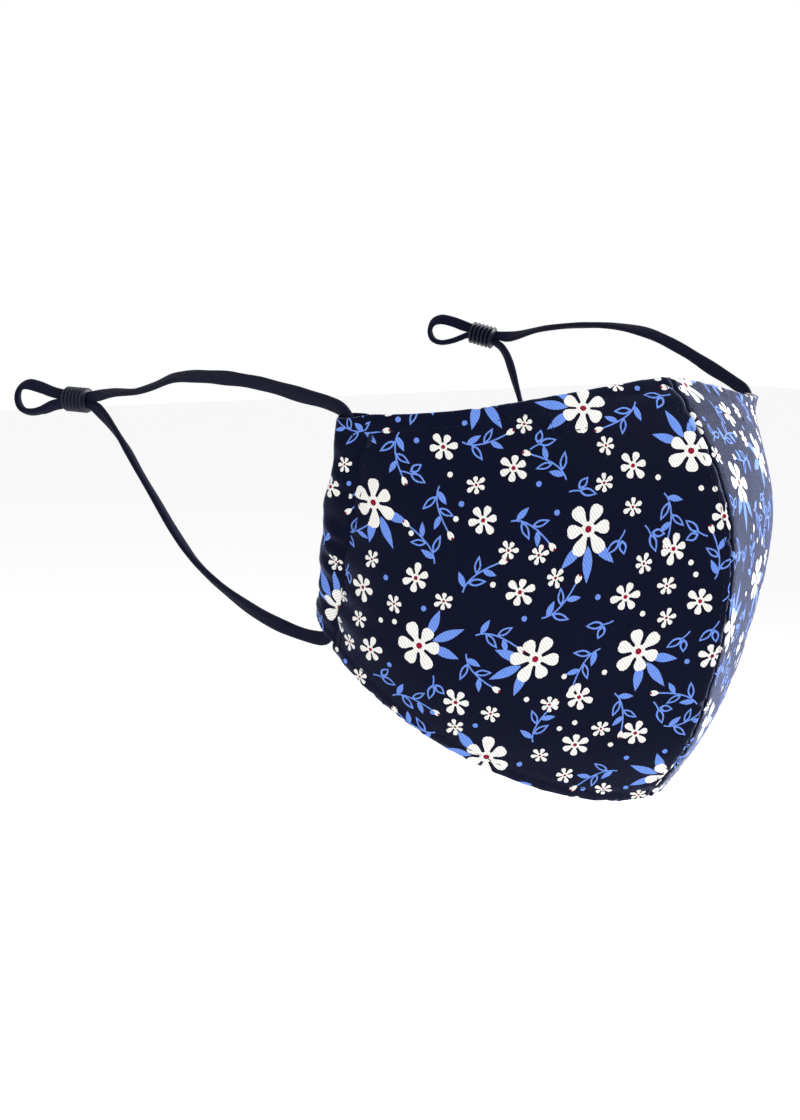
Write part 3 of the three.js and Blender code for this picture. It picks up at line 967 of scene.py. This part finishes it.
# ------------------------------------------------------------------ cords and toggles
def smooth_route(points, count):
    """Evenly spaced points on the centripetal curve through a route."""
    points = [Vector(point) for point in points]
    points = [points[0] * 2 - points[1]] + points + [points[-1] * 2 - points[-2]]
    path = []
    for p0, p1, p2, p3 in zip(points, points[1:], points[2:], points[3:]):
        d0, d1, d2 = (max((b - a).length, 1e-7) ** 0.5 for a, b in ((p0, p1), (p1, p2), (p2, p3)))
        leave = ((p1 - p0) / d0 - (p2 - p0) / (d0 + d1) + (p2 - p1) / d1) * d1
        arrive = ((p2 - p1) / d1 - (p3 - p1) / (d1 + d2) + (p3 - p2) / d2) * d1
        for k in range(24):
            t = k / 24
            path.append(p1 + leave * t + (-3 * p1 + 3 * p2 - 2 * leave - arrive) * t * t
                        + (2 * p1 - 2 * p2 + leave + arrive) * t ** 3)
    path.append(points[-2])
    path = np.array([point[:] for point in path])
    distance = arc_lengths(path, 0)
    even = np.linspace(0, distance[-1], count)
    return np.stack([np.interp(even, distance, path[:, k]) for k in range(3)], -1), distance[-1]


# how far the flat cord is turned about its length, in degrees, at shares of its length
CORD_TURNS = {
    "right": [(0, 0), (0.10, 0), (0.16, 12), (0.22, 30), (0.30, 60), (0.36, 95), (0.40, 60), (0.437, 0),
              (0.46, -10), (0.50, 70), (0.54, 95), (0.57, 40), (0.60, 0), (0.66, 75), (0.76, 85), (0.84, 40),
              (0.90, 5), (1, 0)],
    "left": [(0, 0), (0.10, 0), (0.17, 20), (0.24, 55), (0.30, 90), (0.36, 60), (0.42, 0), (0.46, -15),
             (0.50, 70), (0.54, 90), (0.57, 30), (0.60, 0), (0.66, 60), (0.78, 85), (0.86, 40),
             (0.92, 5), (1, 0)],
}


def ear_cord(side, material):
    """A flat elastic with rounded edges, turned and slightly uneven along its route."""
    path, length = smooth_route(CORD_ROUTES[side], CORD_STEPS)
    middle = Vector(TOGGLES[side][0])
    along = unit(np.gradient(path, axis=0))
    wide = unit(np.cross(along[0], (1.0, 0, 0)))
    vertices, uvs = [], []
    shares = [turn[0] for turn in CORD_TURNS[side]]
    angles = [turn[1] for turn in CORD_TURNS[side]]
    for step, point in enumerate(path):
        wide = wide - along[step] * (wide @ along[step])
        wide = wide / np.linalg.norm(wide)
        thick = np.cross(along[step], wide)
        share = step / (CORD_STEPS - 1)
        turn = math.radians(np.interp(share, shares, angles))
        across = wide * math.cos(turn) + thick * math.sin(turn)
        through = np.cross(along[step], across)
        near_toggle = math.exp(-((Vector(point) - middle).length / (8 * MM)) ** 4)
        uneven_edge = 1 + 0.05 * math.sin(share * 61) + 0.04 * math.sin(share * 143 + 1)
        half_width = CORD_WIDTH / 2 * uneven_edge * (1 - 0.26 * near_toggle)
        half_depth = CORD_THICKNESS / 2 * (1 + 0.06 * math.sin(share * 97))
        for k in range(CORD_SIDES):
            angle = 2 * math.pi * k / CORD_SIDES
            c, s = math.cos(angle), math.sin(angle)
            flatness = 0.72
            offset = (across * half_width * math.copysign(abs(c) ** flatness, c)
                      + through * half_depth * math.copysign(abs(s) ** flatness, s))
            vertices.append(point + offset)
            uvs.append((2 * CORD_WIDTH / MM * k / CORD_SIDES, share * length / MM))
    faces = grid_faces(CORD_STEPS, CORD_SIDES, True)
    faces.append(tuple(range(CORD_SIDES)))
    faces.append(tuple(range((CORD_STEPS - 1) * CORD_SIDES, CORD_STEPS * CORD_SIDES))[::-1])
    cord = new_piece(f"elastic_{side}", vertices, faces, material, uvs)
    return cord, path, length


def toggle(side, material):
    """A soft ribbed barrel with two strands of cord through it."""
    ribs = TOGGLE_RIBS * 10
    sides = 56
    profile = [(0.60, -0.5), (0.66, -0.5)]
    for k in range(ribs + 1):
        place = k / ribs
        wave = abs(math.sin(math.pi * TOGGLE_RIBS * place)) ** 1.1
        ends = min(1, min(place, 1 - place) * 26 + 0.35)
        profile.append(((2.75 + 1.55 * wave) * ends / 4.3 + (1 - ends) * 0.62, place - 0.5))
    profile += [(0.66, 0.5), (0.60, 0.5), (0.58, 0.46), (0.58, -0.46)]
    axis = Vector(TOGGLES[side][1]).normalized()
    sideways = Vector((0, 0, 1)).cross(axis).normalized()
    upwards = axis.cross(sideways)
    middle = Vector(TOGGLES[side][0])
    radius = 4.3 * MM
    vertices = []
    for share, place in profile:
        for k in range(sides):
            angle = 2 * math.pi * k / sides
            squash = 0.93 if share > 0.7 else 0.70
            offset = sideways * math.cos(angle) * squash + upwards * math.sin(angle)
            vertices.append(middle + axis * place * TOGGLE_LENGTH + offset * share * radius)
    rows = len(profile)
    faces = grid_faces(rows, sides, True)
    faces += [((rows - 1) * sides + k, k, (k + 1) % sides, (rows - 1) * sides + (k + 1) % sides)
              for k in range(sides)]
    piece = new_piece(f"toggle_{side}", vertices, faces, material)
    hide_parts(f"cord_toggle_{side}")
    return piece


# ------------------------------------------------------------------ assembly
def build():
    bpy.context.scene.view_settings.view_transform = "Standard"
    add_camera()
    elastic_material = elastic()
    toggle_material = silicone()
    for side in ("right", "left"):
        cord, path, length = ear_cord(side, elastic_material)
        barrel = toggle(side, toggle_material)
        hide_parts(f"ear_cord_{side}")
        tuple(path[0])
        [tuple(point) for point in path]
    add_studio()
    print_material = cotton("printed_cotton", True, PRINT_COLOURS[NAVY])
    lining_material = cotton("plain_cotton", False, (0.0045, 0.0055, 0.018, 1))
    thread_material = thread("navy_thread", (0.008, 0.010, 0.030, 1))
    flat, solid = panel_grids()
    strip_flat, strip_solid = casing_grids()
    for side, hand, shift, strip_shift in SIDES:
        panel = printed_cloth(f"panel_{side}_cloth", flat, solid, hand, shift, print_material)
        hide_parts(f"panel_{side}")
        casing = printed_cloth(f"casing_{side}_cloth", strip_flat, strip_solid, hand, strip_shift,
                               print_material)
        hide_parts(f"side_casing_{side}")
        back = lining(f"panel_{side}_lining", hand, lining_material)
        seams = sewing(f"sewing_{side}", hand, thread_material)


build()
